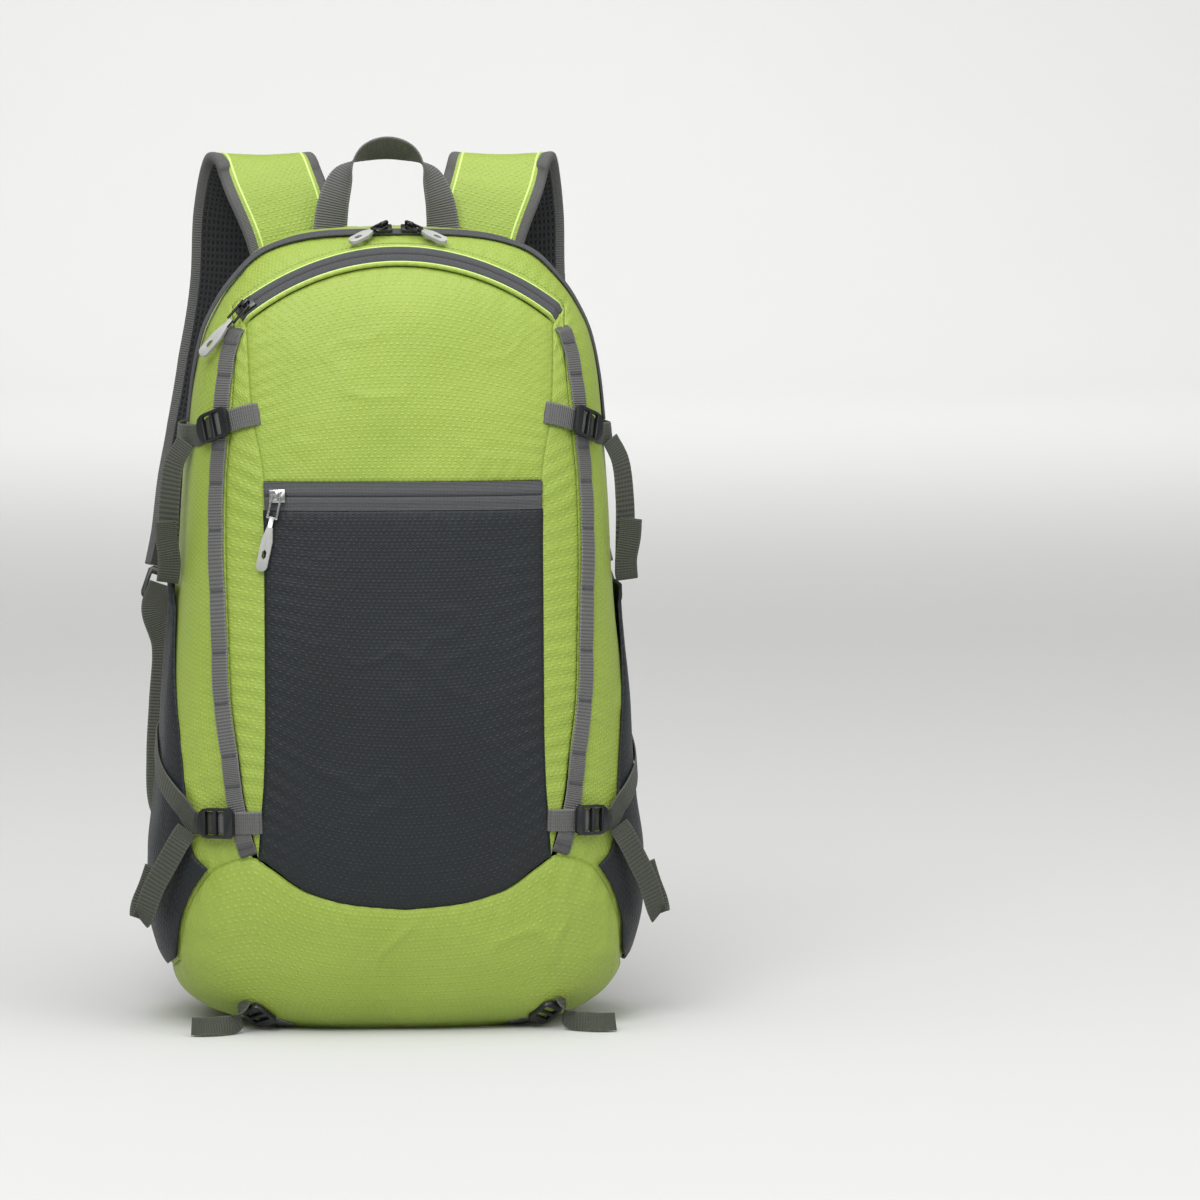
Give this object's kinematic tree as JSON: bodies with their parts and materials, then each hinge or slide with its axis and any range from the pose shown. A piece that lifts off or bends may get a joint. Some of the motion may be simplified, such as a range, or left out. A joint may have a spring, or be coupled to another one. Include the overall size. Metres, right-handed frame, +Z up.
{
  "type": "backpack",
  "caption": "Soft daypack with a rounded top, arched front zip, slanted pocket, side pockets, compression straps and padded shoulder straps.",
  "frame": {"origin": "middle of the flat bottom, on the surface that the bag stands on", "axes": "+Z up, -Y towards the front pocket, +Y towards the shoulder straps, +X to the viewer's right when the front is seen"},
  "size_m": [0.3408, 0.2574, 0.5549],
  "materials": {
    "lime": "coated ripstop nylon",
    "slate": "coated nylon",
    "webbing": "woven nylon webbing",
    "mesh": "spacer mesh",
    "plastic": "moulded acetal",
    "metal": "dark plated zinc",
    "tip": "moulded soft plastic"
  },
  "bodies": {
    "bag": {"front_panel": "lime", "side_front_right": "lime", "side_front_left": "lime", "gusset": "lime", "base": "lime", "shoulder_strap_right": "lime", "shoulder_strap_left": "lime", "front_pocket": "slate", "side_pocket_right": "slate", "side_pocket_left": "slate", "pocket_zip": "webbing", "front_zip": "webbing", "main_zip": "webbing", "haul_handle": "webbing", "daisy_webbing_right": "webbing", "daisy_webbing_left": "webbing", "upper_anchor_right": "webbing", "upper_anchor_left": "webbing", "upper_strap_right": "webbing", "upper_strap_left": "webbing", "upper_tail_right": "webbing", "upper_tail_left": "webbing", "lower_anchor_right": "webbing", "lower_anchor_left": "webbing", "lower_strap_right": "webbing", "lower_strap_left": "webbing", "lower_tail_right": "webbing", "lower_tail_left": "webbing", "shoulder_webbing_right": "webbing", "shoulder_webbing_left": "webbing", "bottom_strap_right": "webbing", "bottom_strap_left": "webbing", "bottom_tail_right": "webbing", "bottom_tail_left": "webbing", "back_panel": "mesh", "upper_buckle_right": "plastic", "upper_buckle_left": "plastic", "lower_buckle_right": "plastic", "lower_buckle_left": "plastic", "shoulder_buckle_right": "plastic", "shoulder_buckle_left": "plastic", "bottom_buckle_right": "plastic", "bottom_buckle_left": "plastic", "pocket_slider": "metal", "front_slider": "metal", "main_left_slider": "metal", "main_right_slider": "metal"},
    "pocket_pull_body": {"pocket_pull": "tip"},
    "front_pull_body": {"front_pull": "tip"},
    "main_left_pull_body": {"main_left_pull": "tip"},
    "main_right_pull_body": {"main_right_pull": "tip"}
  },
  "joints": [
    {"name": "pocket_pull_swing", "type": "hinge", "parent": "bag", "child": "pocket_pull_body", "pos_m": [-0.07917, -0.08224, 0.3377], "axis": [-0.945, 0.2592, 0.1994], "range_deg": [0, 150]},
    {"name": "front_pull_swing", "type": "hinge", "parent": "bag", "child": "front_pull_body", "pos_m": [-0.09639, -0.04491, 0.4553], "axis": [-0.5643, 0.639, 0.5227], "range_deg": [0, 120]},
    {"name": "main_left_pull_swing", "type": "hinge", "parent": "bag", "child": "main_left_pull_body", "pos_m": [-0.00787, -0.01705, 0.5028], "axis": [-0.6308, 0.7118, 0.3089], "range_deg": [0, 95]},
    {"name": "main_right_pull_swing", "type": "hinge", "parent": "bag", "child": "main_right_pull_body", "pos_m": [0.00787, -0.01705, 0.5028], "axis": [-0.6308, -0.7118, -0.3089], "range_deg": [0, 95]}
  ]
}
